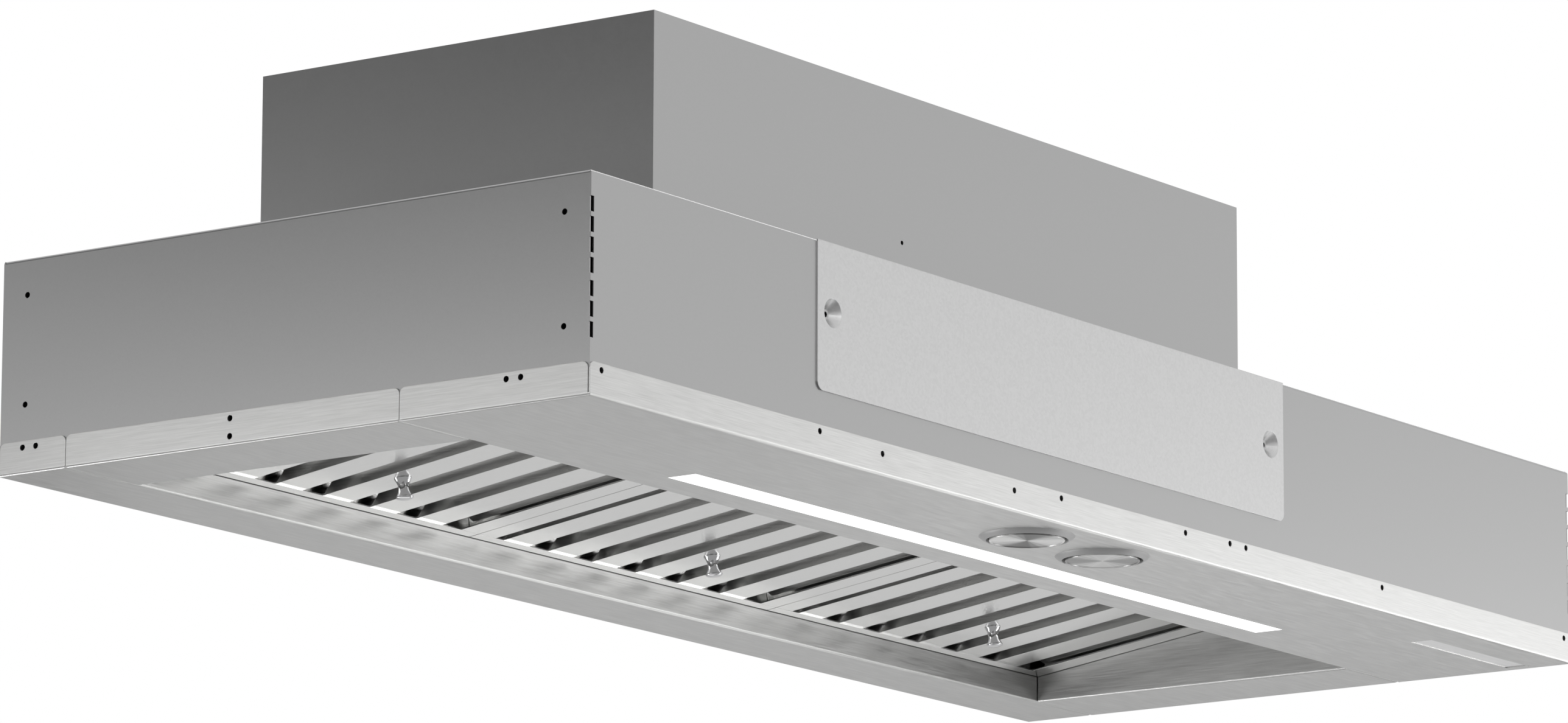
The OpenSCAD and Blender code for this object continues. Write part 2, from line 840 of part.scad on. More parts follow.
// one baffle channel along Y, open at the top, drawn from x = 0
module baffle(w) {
    t = filter_sheet_t;
    clip = baffle_len + 2 * t - filter_band_w;
    rise = baffle_h + over - t;
    translate([0, baffle_u0, 0]) difference() {
        cube([w, baffle_len, baffle_h]);
        translate([t, -over, t]) cube([w - 2 * t, baffle_len + 2 * over, baffle_h]);
        translate([-over, 0, 0]) across_x(w + 2 * over)
            polygon([[clip, t], [baffle_len + over, t], [baffle_len + over, t + rise],
                [clip - rise, t + rise]]);
    }
}

// start and width of the slot before lower baffle i
function slot_x(i) = i == 0 ? filter_side_w : strip_x0 + i * strip_pitch - slot_w;
function slot_len(i) = i == 0 ? first_slot_w : i == strip_n ? last_slot_w : slot_w;

module filter_baffles(i) {
    color("gainsboro") place_filter(i) {
        difference() {
            for (k = [0:strip_n - 1])
                translate([strip_x0 + k * strip_pitch, 0, filter_sheet_t]) baffle(strip_w);
            translate([strip_x0 + handle_strip * strip_pitch + strip_w / 2,
                filter_len - handle_set, 0])
                cylinder(r = handle_stud_r + seat_gap, h = filter_t, $fn = round_fn);
        }
        for (k = [0:strip_n])
            translate([slot_x(k) - baffle_lap, 0, filter_t - filter_sheet_t]) mirror([0, 0, 1])
                baffle(slot_len(k) + 2 * baffle_lap);
    }
}

module filter_handle(i) {
    neck_z = handle_h * handle_neck_share;
    color("silver") place_filter(i)
        translate([strip_x0 + handle_strip * strip_pitch + strip_w / 2, filter_len - handle_set,
            filter_sheet_t]) {
            mirror([0, 0, 1]) rotate_extrude($fn = round_fn) polygon([
                [0, 0], [handle_r, 0], [handle_r, handle_lip_h], [handle_waist_r, neck_z],
                [handle_waist_r, neck_z + handle_lip_h], [handle_r, handle_h - handle_lip_h],
                [handle_r, handle_h], [0, handle_h]]);
            cylinder(r = handle_stud_r, h = filter_sheet_t + handle_nut_h, $fn = round_fn);
            translate([0, 0, filter_sheet_t])
                cylinder(r = handle_nut_r, h = handle_nut_h, $fn = round_fn);
        }
}

module left_filter_frame() filter_frame(0);
module left_filter_baffles() filter_baffles(0);
module left_filter_handle() filter_handle(0);
module middle_filter_frame() filter_frame(1);
module middle_filter_baffles() filter_baffles(1);
module middle_filter_handle() filter_handle(1);
module right_filter_frame() filter_frame(2);
module right_filter_baffles() filter_baffles(2);
module right_filter_handle() filter_handle(2);

// ---- lamp and badge

module lamp_lens() {
    color("white") union() {
        translate([-lamp_w / 2 + lamp_gap, front_y + lamp_set + lamp_gap, underside_z])
            cube([lamp_w - 2 * lamp_gap, lamp_d - 2 * lamp_gap, sheet_t]);
        translate([-lamp_w / 2 - lamp_flange, front_y + lamp_set - lamp_flange, floor_z])
            cube([lamp_w + 2 * lamp_flange, lamp_d + 2 * lamp_flange, lamp_flange_t]);
    }
}

module lamp_channel() {
    z = floor_z + lamp_flange_t;
    w = lamp_w + 2 * lamp_flange;
    d = lamp_d + 2 * lamp_flange;
    color("silver") translate([-w / 2, front_y + lamp_set - lamp_flange, z]) difference() {
        cube([w, d, lamp_channel_h]);
        translate([sheet_t, sheet_t, -over])
            cube([w - 2 * sheet_t, d - 2 * sheet_t, lamp_channel_h - sheet_t + over]);
    }
}

module lamp_board() {
    z = floor_z + lamp_flange_t + lamp_channel_h - sheet_t - lamp_board_t;
    y = front_y + lamp_set + lamp_d / 2;
    color("ivory") union() {
        translate([-lamp_w / 2, y - lamp_d / 4, z]) cube([lamp_w, lamp_d / 2, lamp_board_t]);
        for (i = [0:lamp_chip_n - 1])
            translate([-lamp_w / 2 + (i + 1 / 2) * lamp_chip_pitch - lamp_chip_w / 2,
                y - lamp_chip_w / 2, z - lamp_chip_t])
                cube([lamp_chip_w, lamp_chip_w, lamp_chip_t]);
    }
}

module lamp_driver() {
    color("dimgray") translate([driver_x, driver_y, floor_z]) cube(driver_size);
}

module badge_plate() {
    color("white") union() {
        translate([badge_x0 - badge_lip, badge_y0 - badge_lip, floor_z])
            cube([badge_w + 2 * badge_lip, badge_d + 2 * badge_lip, badge_t]);
        translate([badge_x0 + badge_fit, badge_y0 + badge_fit, underside_z + badge_sink])
            cube([badge_w - 2 * badge_fit, badge_d - 2 * badge_fit,
                sheet_t - badge_sink + badge_t]);
    }
}

// ---- controls

module bezel(x) {
    color("silver") translate([x, control_row_y, bezel_z]) difference() {
        union() {
            intersection() {
                cylinder(r1 = bezel_rim_r, r2 = bezel_r + bezel_r - bezel_rim_r,
                    h = 2 * bezel_proud, $fn = round_fn);
                cylinder(r = bezel_r, h = bezel_proud, $fn = round_fn);
            }
            cylinder(r = bezel_tube_r, h = bezel_proud + bezel_tube_h, $fn = round_fn);
        }
        translate([0, 0, -over])
            cylinder(r = bezel_bore_r, h = bezel_proud + bezel_tube_h + 2 * over, $fn = round_fn);
    }
}

module control_switch(x) {
    color("dimgray") translate([x, control_row_y, switch_z]) difference() {
        translate([-switch_w / 2, -switch_w / 2, 0]) cube([switch_w, switch_w, switch_h]);
        translate([0, 0, -over])
            cylinder(r = plunger_r + run_gap, h = switch_h + 2 * over, $fn = round_fn);
    }
}

module plunger(x) {
    z = knob_z + knob_face_t + knob_floor + seat_gap;
    color("gray") translate([x, control_row_y, z])
        cylinder(r = plunger_r, h = plunger_top_z - z, $fn = round_fn);
}

module knob(x) {
    h = knob_face_t + knob_skirt_h;
    in_r = knob_r - knob_wall;
    color("silver") translate([x, control_row_y, knob_z]) difference() {
        union() {
            cylinder(r1 = knob_r - knob_edge, r2 = knob_r, h = knob_edge, $fn = round_fn);
            translate([0, 0, knob_edge])
                cylinder(r = knob_r, h = h - knob_edge, $fn = round_fn);
        }
        translate([0, 0, knob_face_t]) difference() {
            cylinder(r = in_r, h = h, $fn = round_fn);
            cylinder(r = knob_boss_r, h = h + over, $fn = round_fn);
        }
        translate([0, 0, knob_face_t + knob_floor])
            cylinder(r = plunger_r + run_gap, h = h, $fn = round_fn);
    }
}

module left_bezel() bezel(control_x[0]);
module right_bezel() bezel(control_x[1]);
module left_switch() control_switch(control_x[0]);
module right_switch() control_switch(control_x[1]);
module left_plunger() plunger(control_x[0]);
module right_plunger() plunger(control_x[1]);
module left_knob() knob(control_x[0]);
module right_knob() knob(control_x[1]);

module control_board() {
    z = switch_z + switch_h;
    color("darkgreen") translate([control_mid_x, control_row_y, 0]) union() {
        translate([-board_size[0] / 2, -board_size[1] / 2, z])
            cube([board_size[0], board_size[1], board_t]);
        for (x = [-board_size[0] / 2 + post_in, board_size[0] / 2 - post_in])
            for (y = [-board_size[1] / 2 + post_in, board_size[1] / 2 - post_in])
                translate([x, y, floor_z])
                    cylinder(r = post_r, h = z - floor_z + board_t / 2, $fn = round_fn);
    }
}

// ---- supply

module terminal_box() {
    s = terminal_size;
    color("silver") translate([terminal_x - s[0] / 2, terminal_y, deck_z - s[2]]) difference() {
        cube(s);
        translate([sheet_t, sheet_t, -over])
            cube([s[0] - 2 * sheet_t, s[1] - 2 * sheet_t, s[2] + 2 * over]);
    }
}

module terminal_cover() {
    s = terminal_size;
    color("silver") translate([terminal_x - s[0] / 2 - terminal_lip, terminal_y,
        deck_z - s[2] - sheet_t]) cube([s[0] + 2 * terminal_lip, s[1], sheet_t]);
}

module capacitor() {
    y = terminal_y + terminal_size[1] / 2;
    z = deck_z - capacitor_drop;
    color("white") union() {
        hole_x(y, z, capacitor_r, capacitor_x, capacitor_x + capacitor_len);
        translate([capacitor_x + capacitor_len / 2 - capacitor_foot / 2, y - capacitor_foot / 2, z])
            cube([capacitor_foot, capacitor_foot, capacitor_drop]);
    }
}

// ---- blower

function scroll_r(a) = scroll_r0 + (scroll_r1 - scroll_r0) * (a - scroll_cut_a) / (360 - scroll_cut_a);
function scroll_at(k, e) = let (a = scroll_cut_a + k * (360 - scroll_cut_a) / scroll_step_n)
    [(scroll_r(a) + e) * cos(a), (scroll_r(a) + e) * sin(a)];

// outline of the scroll in the wheel's plane, grown outward by e
function scroll_path(e) = concat([[-throat_front - e, scroll_top]],
    [scroll_at(0, 0) - [scroll_tongue * e, 0]],
    [for (k = [1:scroll_step_n]) scroll_at(k, e)], [[scroll_r1 + e, scroll_top]]);
function reversed(p) = [for (i = [len(p) - 1:-1:0]) p[i]];

module scroll_wrap() {
    color("silver") translate([-scroll_x, wheel_y, wheel_z]) across_x(2 * scroll_x)
        polygon(concat(scroll_path(0), reversed(scroll_path(sheet_t))));
}

module scroll_cheeks() {
    color("silver") for (x = [-scroll_x - sheet_t, scroll_x])
        translate([x, wheel_y, wheel_z]) across_x(sheet_t) difference() {
            polygon(scroll_path(sheet_t));
            circle(inlet_hole_r, $fn = round_fn);
        }
}

module motor() {
    color("dimgray") difference() {
        hole_x(wheel_y, wheel_z, motor_r, -scroll_x, -motor_gap);
        hole_x(wheel_y, wheel_z, shaft_r + run_gap, shaft_x0 - seat_gap, -motor_gap + over);
    }
}

module motor_bracket() {
    color("silver") translate([-scroll_x - sheet_t - bracket_t, wheel_y, wheel_z])
        rotate([0, 90, 0]) union() {
            for (i = [0:arm_n - 1])
                rotate(i * 360 / arm_n) translate([bracket_r / 2, -arm_w / 2, 0])
                    cube([arm_reach - bracket_r / 2, arm_w, bracket_t]);
            cylinder(r = bracket_r, h = bracket_t + sheet_t, $fn = round_fn);
        }
}

module motor_shaft() {
    color("lightgray") hole_x(wheel_y, wheel_z, shaft_r, shaft_x0, shaft_x1);
}

module impeller() {
    w = wheel_w / 2;
    mid_r = (wheel_r + blade_in_r) / 2;
    color("lightgray") translate([0, wheel_y, wheel_z]) rotate([0, 90, 0]) difference() {
        union() {
            translate([0, 0, -wheel_disc_t / 2])
                cylinder(r = wheel_r, h = wheel_disc_t, $fn = round_fn);
            for (z = [-w, w - wheel_ring_t]) translate([0, 0, z]) difference() {
                cylinder(r = wheel_r, h = wheel_ring_t, $fn = round_fn);
                translate([0, 0, -over])
                    cylinder(r = wheel_r - wheel_ring_w, h = wheel_ring_t + 2 * over, $fn = round_fn);
            }
            for (i = [0:blade_n - 1])
                rotate(i * 360 / blade_n) translate([mid_r, 0, 0]) rotate(blade_pitch)
                    translate([-blade_len / 2, -blade_t / 2, -w + wheel_ring_t / 2])
                        cube([blade_len, blade_t, 2 * w - wheel_ring_t]);
            translate([0, 0, hub_x0]) cylinder(r = hub_r, h = hub_len, $fn = round_fn);
        }
        translate([0, 0, hub_x0 - over])
            cylinder(r = shaft_r + run_gap, h = hub_len + 2 * over, $fn = round_fn);
    }
}

// ---- outlet

module duct_collar() {
    in_r = collar_r - collar_t;
    lip_z = damper_up - damper_t / 2 - seat_gap - sheet_t;
    color("silver") translate([0, box_mid_y, box_top_z]) difference() {
        union() {
            difference() {
                union() {
                    cylinder(r = collar_r + collar_foot, h = sheet_t, $fn = round_fn);
                    cylinder(r = collar_r, h = collar_h, $fn = round_fn);
                }
                difference() {
                    translate([0, 0, -over])
                        cylinder(r = in_r, h = collar_h + 2 * over, $fn = round_fn);
                    translate([0, 0, lip_z]) difference() {
                        cylinder(r = collar_r, h = sheet_t, $fn = round_fn);
                        translate([0, 0, -over])
                            cylinder(r = damper_lip_r, h = sheet_t + 2 * over, $fn = round_fn);
                        translate([-collar_r, -damper_sleeve_r - sleeve_relief, -over])
                            cube([2 * collar_r, 2 * (damper_sleeve_r + sleeve_relief),
                                sheet_t + 2 * over]);
                    }
                }
            }
            for (side = [0, 1]) mirror([side, 0, 0])
                hole_x(0, damper_up, damper_sleeve_r, in_r - pin_boss_w, in_r + collar_t / 2);
        }
        hole_x(0, damper_up, pin_hole_r, -in_r - seat_gap, in_r + seat_gap);
    }
}

module damper_pin() {
    reach = collar_r - collar_t;
    color("gray") hole_x(box_mid_y, damper_z, damper_pin_r, -reach, reach);
}

// the flap on the front side of the pin; first is the index of its first sleeve
module damper_flap(first) {
    n = len(sleeve_shares) - 1;
    difference() {
        union() {
            translate([0, 0, -damper_t / 2]) difference() {
                cylinder(r = damper_r, h = damper_t, $fn = round_fn);
                translate([-damper_r - over, -damper_edge, -over])
                    cube([2 * (damper_r + over), 2 * damper_r, damper_t + 2 * over]);
            }
            for (i = [first:2:n]) translate([sleeve_shares[i] * damper_r - sleeve_w / 2, 0, 0]) {
                hole_x(0, 0, damper_sleeve_r, 0, sleeve_w);
                translate([0, -damper_edge - over, -damper_t / 2])
                    cube([sleeve_w, damper_edge + over, damper_t]);
            }
        }
        hole_x(0, 0, damper_pin_r + run_gap, -damper_r - over, damper_r + over);
    }
}

module damper_front() {
    color("gainsboro") translate([0, box_mid_y, damper_z]) damper_flap(0);
}

module damper_back() {
    color("gainsboro") translate([0, box_mid_y, damper_z]) mirror([0, 1, 0]) damper_flap(1);
}

front_trim();
back_trim();
left_trim();
right_trim();
front_panel();
back_panel();
left_panel();
right_panel();
deck_front();
deck_back();
deck_left();
deck_right();
box_front();
box_back();
box_left();
box_right();
box_top();
box_screws();
access_cover();
plenum_wall();
filter_rail();
filter_catches();
lamp_lens();
lamp_board();
lamp_channel();
lamp_driver();
badge_plate();
left_bezel();
right_bezel();
left_switch();
right_switch();
left_plunger();
right_plunger();
left_knob();
right_knob();
control_board();
terminal_box();
terminal_cover();
capacitor();
scroll_wrap();
scroll_cheeks();
motor();
motor_bracket();
motor_shaft();
impeller();
duct_collar();
damper_pin();
damper_front();
damper_back();
left_filter_frame();
left_filter_baffles();
left_filter_handle();
middle_filter_frame();
middle_filter_baffles();
middle_filter_handle();
right_filter_frame();
right_filter_baffles();
right_filter_handle();
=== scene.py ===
"""Looks for the range hood insert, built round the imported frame. Metres, +Z up, front along -Y."""

import logging
import math
from dataclasses import dataclass, field
from enum import Enum
from typing import Any

import bmesh
import bpy
import numpy as np
from mathutils import Matrix, Vector


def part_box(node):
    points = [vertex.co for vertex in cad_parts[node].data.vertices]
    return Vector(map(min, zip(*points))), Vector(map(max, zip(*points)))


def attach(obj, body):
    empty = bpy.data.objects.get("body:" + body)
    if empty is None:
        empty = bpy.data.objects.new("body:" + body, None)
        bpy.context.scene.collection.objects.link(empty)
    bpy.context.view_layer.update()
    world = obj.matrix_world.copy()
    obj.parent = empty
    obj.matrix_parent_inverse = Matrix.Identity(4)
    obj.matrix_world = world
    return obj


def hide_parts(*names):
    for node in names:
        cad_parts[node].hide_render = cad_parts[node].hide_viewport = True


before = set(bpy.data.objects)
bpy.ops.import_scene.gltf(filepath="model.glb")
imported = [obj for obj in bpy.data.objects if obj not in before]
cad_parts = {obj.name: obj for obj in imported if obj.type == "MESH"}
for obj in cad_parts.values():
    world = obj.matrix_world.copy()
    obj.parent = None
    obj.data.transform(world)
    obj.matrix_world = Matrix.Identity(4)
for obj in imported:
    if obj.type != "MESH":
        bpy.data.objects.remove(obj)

LOG = logging.getLogger("hood")
MM = 0.001
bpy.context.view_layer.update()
ROUND_SEGMENTS = 96
MERGE_DISTANCE = 1e-7

Points = np.ndarray
Tree = bpy.types.NodeTree
Material = bpy.types.Material
Object = bpy.types.Object
Place = tuple[float, float, float]


class Grain(Enum):
    """How the pattern of a finish runs over the sheet."""

    BRUSHED = "level lines on walls, lines along X on the underside"
    LENGTHWISE = "lines along Y, the way the baffles were rolled"
    SPANGLE = "small zinc crystals"
    PLAIN = "fine moulded or painted speckle"


def linear(hex_colour: str) -> tuple[float, float, float, float]:
    """Turns an sRGB hex colour to linear RGBA.

    Args:
        hex_colour: six hex digits after a hash sign.

    Returns:
        Linear red, green and blue, with alpha 1.
    """
    parts = [int(hex_colour[i : i + 2], 16) / 255 for i in (1, 3, 5)]
    flat = [c / 12.92 if c <= 0.04045 else ((c + 0.055) / 1.055) ** 2.4 for c in parts]
    return (*flat, 1.0)


def tone_pair(hex_colour: str, spread: float) -> tuple[tuple[float, ...], tuple[float, ...]]:
    """Gives the darkest and the palest tone of a finish.

    Args:
        hex_colour: the finish's middle tone, in sRGB.
        spread: how far each end lies from the middle, as a share of it.

    Returns:
        Both ends as linear RGBA, the pale one no brighter than white.
    """
    middle = linear(hex_colour)[:3]
    low = tuple(c * (1 - spread) for c in middle) + (1.0,)
    high = tuple(min(1.0, c * (1 + spread)) for c in middle) + (1.0,)
    return low, high


def add_node(tree: Tree, kind: str, settings: dict[str, Any] | None = None, **links: Any) -> Any:
    """Adds one node with its settings and inputs.

    Args:
        tree: the node tree that gets the node.
        kind: the node's type name without the ShaderNode prefix.
        settings: attribute names of the node and their values.
        links: input names, with underscores for spaces or a digit for an index, and a value or socket.

    Returns:
        The new node.
    """
    node = tree.nodes.new("ShaderNode" + kind)
    for key, value in (settings or {}).items():
        setattr(node, key, value)
    for key, value in links.items():
        name = key.lstrip("_").replace("_", " ")
        socket = node.inputs[int(name)] if name.isdigit() else node.inputs[name]
        if isinstance(value, bpy.types.NodeSocket):
            tree.links.new(value, socket)
        else:
            socket.default_value = value
    return node


def new_material(name: str) -> tuple[Material, Tree, Any]:
    """Makes an empty material.

    Args:
        name: the finish's own name.

    Returns:
        The material, its node tree and its output node.
    """
    material = bpy.data.materials.new(name)
    material.use_nodes = True
    tree = material.node_tree
    tree.nodes.clear()
    return material, tree, add_node(tree, "OutputMaterial")


@dataclass(frozen=True)
class SheetFinish:
    """Rolled, brushed or coated sheet, or a plain moulding, with a fine pattern of its own.

    The sizes in mm are those of the pattern: a line's or crystal's width on walls (across_mm), a
    line's width on the underside (under_mm), a line's length (along_mm), the depth of the relief
    (bump_mm) and the rounding of the cut edges (edge_mm, where 0 leaves them sharp). A face counts
    as a side wall where the X part of its normal passes side_facing.
    """

    name: str
    colour: str
    metallic: float = 1.0
    roughness: float = 0.35
    grain: Grain = Grain.BRUSHED
    across_mm: float = 0.5
    under_mm: float = 2.0
    along_mm: float = 60.0
    tone: float = 0.05
    rough_spread: float = 0.05
    bump_mm: float = 0.01
    anisotropy: float = 0.0
    edge_mm: float = 0.0
    edge_samples: int = 4
    side_facing: float = 0.7
    line_fade: float = 0.75
    contrast: tuple[float, float] = (0.3, 0.7)

    def pattern(self, tree: Tree) -> Any:
        """Adds the grain as a value from 0 to 1.

        Args:
            tree: the material's node tree.

        Returns:
            The socket that carries the grain.
        """
        place = add_node(tree, "TexCoord").outputs["Object"]
        fine, long, under = (1 / (size * MM) for size in (self.across_mm, self.along_mm, self.under_mm))
        if self.grain is Grain.SPANGLE:
            cells = add_node(tree, "TexVoronoi", {"feature": "F1"}, Vector=place, Scale=fine)
            value = add_node(tree, "SeparateColor", None, Color=cells.outputs["Color"])
            return value.outputs["Red"]
        if self.grain is Grain.PLAIN:
            speckle = add_node(tree, "TexNoise", None, Vector=place, Scale=fine, Detail=2.0)
            return speckle.outputs["Fac"]
        if self.grain is Grain.LENGTHWISE:
            scaled = add_node(tree, "VectorMath", {"operation": "MULTIPLY"}, _0=place,
                              _1=(fine, long, fine)).outputs["Vector"]
        else:
            level = add_node(tree, "VectorMath", {"operation": "MULTIPLY"}, _0=place,
                             _1=(long, under, fine)).outputs["Vector"]
            side = add_node(tree, "VectorMath", {"operation": "MULTIPLY"}, _0=place,
                            _1=(long, long, fine)).outputs["Vector"]
            normal = add_node(tree, "NewGeometry").outputs["Normal"]
            facing = add_node(tree, "SeparateXYZ", None, Vector=normal).outputs["X"]
            turned = add_node(tree, "Math", {"operation": "ABSOLUTE"}, _0=facing).outputs["Value"]
            choose = add_node(tree, "Math", {"operation": "GREATER_THAN"}, _0=turned,
                              _1=self.side_facing)
            scaled = add_node(tree, "Mix", {"data_type": "VECTOR"}, _0=choose.outputs["Value"],
                              _4=level, _5=side).outputs[1]
        lines = add_node(tree, "TexNoise", None, Vector=scaled, Scale=1.0, Detail=2.0,
                         Roughness=self.line_fade)
        faint, strong = self.contrast
        clear = add_node(tree, "MapRange", None, Value=lines.outputs["Fac"],
                         From_Min=faint, From_Max=strong)
        return clear.outputs["Result"]

    def build(self) -> Material:
        """Makes the material: the grain moves the tone, the gloss and the bump a little.

        Where the finish is anisotropic, its gloss is stretched across the lines: up and down on walls,
        and along Y on level faces.

        Returns:
            The material.
        """
        material, tree, output = new_material(self.name)
        grain = self.pattern(tree)
        low, high = tone_pair(self.colour, self.tone)
        tint = add_node(tree, "Mix", {"data_type": "RGBA"}, _0=grain, _6=low, _7=high)
        gloss = add_node(tree, "MapRange", None, Value=grain,
                         To_Min=self.roughness - self.rough_spread,
                         To_Max=self.roughness + self.rough_spread)
        relief = add_node(tree, "Bump", None, Height=grain, Distance=self.bump_mm * MM, Strength=1.0)
        if self.edge_mm:
            edge = add_node(tree, "Bevel", {"samples": self.edge_samples}, Radius=self.edge_mm * MM)
            tree.links.new(edge.outputs["Normal"], relief.inputs["Normal"])
        shader = add_node(tree, "BsdfPrincipled", None, Base_Color=tint.outputs[2],
                          Roughness=gloss.outputs["Result"], Metallic=self.metallic,
                          Normal=relief.outputs["Normal"])
        if self.anisotropy:
            shader.inputs["Anisotropic"].default_value = self.anisotropy
            normal = add_node(tree, "NewGeometry").outputs["Normal"]
            up = add_node(tree, "SeparateXYZ", None, Vector=normal).outputs["Z"]
            flat = add_node(tree, "Math", {"operation": "ABSOLUTE"}, _0=up).outputs["Value"]
            wall = add_node(tree, "Math", {"operation": "SUBTRACT"}, _0=1.0, _1=flat).outputs["Value"]
            way = add_node(tree, "CombineXYZ", None, Y=flat, Z=wall).outputs["Vector"]
            tree.links.new(way, shader.inputs["Tangent"])
        tree.links.new(shader.outputs["BSDF"], output.inputs["Surface"])
        return material


@dataclass(frozen=True)
class SpunFinish:
    """Metal turned on a lathe: fine rings, and a painted reflection in soft fans round the middle, on the
    piece's own UV map.

    The painted fans are a sum of cosines round the turn, given as waves a turn and share. They darken the
    colour where a lathe's fine grooves would mirror a darker room: a painted reflection, not the metal's
    own tone. They are coarser than the grooves themselves.
    """

    name: str
    colour: str
    roughness: float = 0.3
    ring_mm: float = 0.35
    radius_mm: float = 25.0
    tone: float = 0.06
    painted_fan_depth: float = 0.5
    painted_fan_waves: tuple[tuple[int, float], ...] = ((2, 0.75), (6, 0.15), (22, 0.1))
    painted_fan_edge: float = 0.65
    anisotropy: float = 0.8
    gloss_turn: float = 0.25

    def build(self) -> Material:
        """Makes the material: rings along V, painted reflection fans round U, and a gloss across the rings.

        Returns:
            The material.
        """
        material, tree, output = new_material(self.name)
        place = add_node(tree, "UVMap", {"uv_map": "UVMap"}).outputs["UV"]
        scaled = add_node(tree, "VectorMath", {"operation": "MULTIPLY"}, _0=place,
                          _1=(0.0, self.radius_mm / self.ring_mm, 0.0)).outputs["Vector"]
        rings = add_node(tree, "TexNoise", None, Vector=scaled, Scale=1.0, Detail=3.0).outputs["Fac"]
        turn = add_node(tree, "SeparateXYZ", None, Vector=place).outputs["X"]
        # Painted reflection: a sum of cosines round the turn darkens the colour in fans.
        painted_fans: Any = 0.0
        for count, share in self.painted_fan_waves:
            angle = add_node(tree, "Math", {"operation": "MULTIPLY"}, _0=turn, _1=2 * math.pi * count)
            wave = add_node(tree, "Math", {"operation": "COSINE"}, _0=angle.outputs["Value"])
            painted_fans = add_node(tree, "Math", {"operation": "MULTIPLY_ADD"}, _0=wave.outputs["Value"],
                            _1=share, _2=painted_fans).outputs["Value"]
        painted_fan_shade = add_node(tree, "MapRange", {"interpolation_type": "SMOOTHSTEP"}, Value=painted_fans,
                         From_Min=-self.painted_fan_edge, From_Max=self.painted_fan_edge,
                         To_Min=1 - self.painted_fan_depth, To_Max=1.0)
        low, high = tone_pair(self.colour, self.tone)
        tint = add_node(tree, "Mix", {"data_type": "RGBA"}, _0=rings, _6=low, _7=high)
        painted_fan_colour = add_node(tree, "VectorMath", {"operation": "SCALE"}, _0=tint.outputs[2],
                          Scale=painted_fan_shade.outputs["Result"])
        across = add_node(tree, "Tangent", {"direction_type": "UV_MAP", "uv_map": "UVMap"})
        shader = add_node(tree, "BsdfPrincipled", None, Base_Color=painted_fan_colour.outputs["Vector"], Metallic=1.0,
                          Roughness=self.roughness, Anisotropic=self.anisotropy,
                          Anisotropic_Rotation=self.gloss_turn, Tangent=across.outputs["Tangent"])
        tree.links.new(shader.outputs["BSDF"], output.inputs["Surface"])
        return material


@dataclass(frozen=True)
class LampFinish:
    """Frosted acrylic over a lit lamp strip, which glows plain white."""

    name: str
    colour: str = "#ffffff"
    glow: float = 1.0
    mottle_mm: float = 5.5
    rough_ends: tuple[float, float] = (0.45, 0.6)
    acrylic_ior: float = 1.49

    def build(self) -> Material:
        """Makes the material, with a faint mottle in the frosting.

        Returns:
            The material.
        """
        material, tree, output = new_material(self.name)
        place = add_node(tree, "TexCoord").outputs["Object"]
        mottle = add_node(tree, "TexNoise", None, Vector=place, Scale=1 / (self.mottle_mm * MM),
                          Detail=2.0)
        glossy, dull = self.rough_ends
        rough = add_node(tree, "MapRange", None, Value=mottle.outputs["Fac"], To_Min=glossy, To_Max=dull)
        shader = add_node(tree, "BsdfPrincipled", None, Base_Color=linear(self.colour),
                          Roughness=rough.outputs["Result"], IOR=self.acrylic_ior,
                          Emission_Color=linear(self.colour), Emission_Strength=self.glow)
        tree.links.new(shader.outputs["BSDF"], output.inputs["Surface"])
        return material


# Brushed stainless steel, ground with a belt: long level lines and a gloss stretched across them.
# The lines are drawn coarser than the belt's grit, most of all underneath, which is seen at a slant.
TRIM_STEEL = SheetFinish("brushed_stainless", "#c6c6c5", roughness=0.34, across_mm=0.7, under_mm=3,
                         along_mm=32, tone=0.1, rough_spread=0.05, bump_mm=0.01, anisotropy=0.75,
                         edge_mm=0.6)
# Bright-rolled stainless steel: smooth and pale, it mirrors what is near in a soft way.
FILTER_STEEL = SheetFinish("bright_stainless", "#eeeeed", roughness=0.2, grain=Grain.LENGTHWISE,
                           across_mm=0.8, along_mm=80, tone=0.02, rough_spread=0.04, bump_mm=0.004,
                           edge_mm=0.4)
# Skin-passed galvanised steel: a dull even grey with hardly any spangle.
PANEL_ZINC = SheetFinish("galvanised_panel", "#a6a6a6", roughness=0.36, grain=Grain.SPANGLE,
                         across_mm=1.2, tone=0.012, rough_spread=0.02, bump_mm=0.0)
# Hot-dip galvanised steel: pale, with a fine spangle of zinc crystals, drawn as plain cells.
COVER_ZINC = SheetFinish("galvanised_cover", "#c4c4c4", roughness=0.4, grain=Grain.SPANGLE,
                         across_mm=1.6, tone=0.05, rough_spread=0.06, bump_mm=0.0, edge_mm=0.6)
# Chromium plate over polished brass, a near mirror: the filters' pulls.
CHROME = SheetFinish("polished_chrome", "#dcdcdd", roughness=0.05, grain=Grain.PLAIN, across_mm=4,
                     tone=0.0, rough_spread=0.01, bump_mm=0.0)
# Satin-plated zinc casting, a soft even shine: the controls' bezels.
BEZEL_SATIN = SheetFinish("satin_bezel", "#bababa", roughness=0.5, grain=Grain.PLAIN, across_mm=1,
                          tone=0.02, rough_spread=0.03, bump_mm=0.0)
# Brushed and lacquered aluminium plate, bare of any print.
BADGE_SATIN = SheetFinish("satin_badge", "#f2f2f2", roughness=0.34, across_mm=0.4, tone=0.03,
                          bump_mm=0.002)
# Moulded ABS, black and lightly textured: the lamp driver's case and the switches.
BLACK_PLASTIC = SheetFinish("black_abs", "#1c1c1d", metallic=0.0, roughness=0.5, grain=Grain.PLAIN,
                            across_mm=0.6, tone=0.1, bump_mm=0.02)
# Glass and epoxy laminate under green solder resist: the control board.
GREEN_BOARD = SheetFinish("green_laminate", "#1f5a35", metallic=0.0, roughness=0.35,
                          grain=Grain.PLAIN, across_mm=1.5, tone=0.12, bump_mm=0.01)
# The same laminate under white resist: the lamp board.
WHITE_BOARD = SheetFinish("white_laminate", "#e6e6e0", metallic=0.0, roughness=0.4,
                          grain=Grain.PLAIN, across_mm=1.5, tone=0.03, bump_mm=0.0)
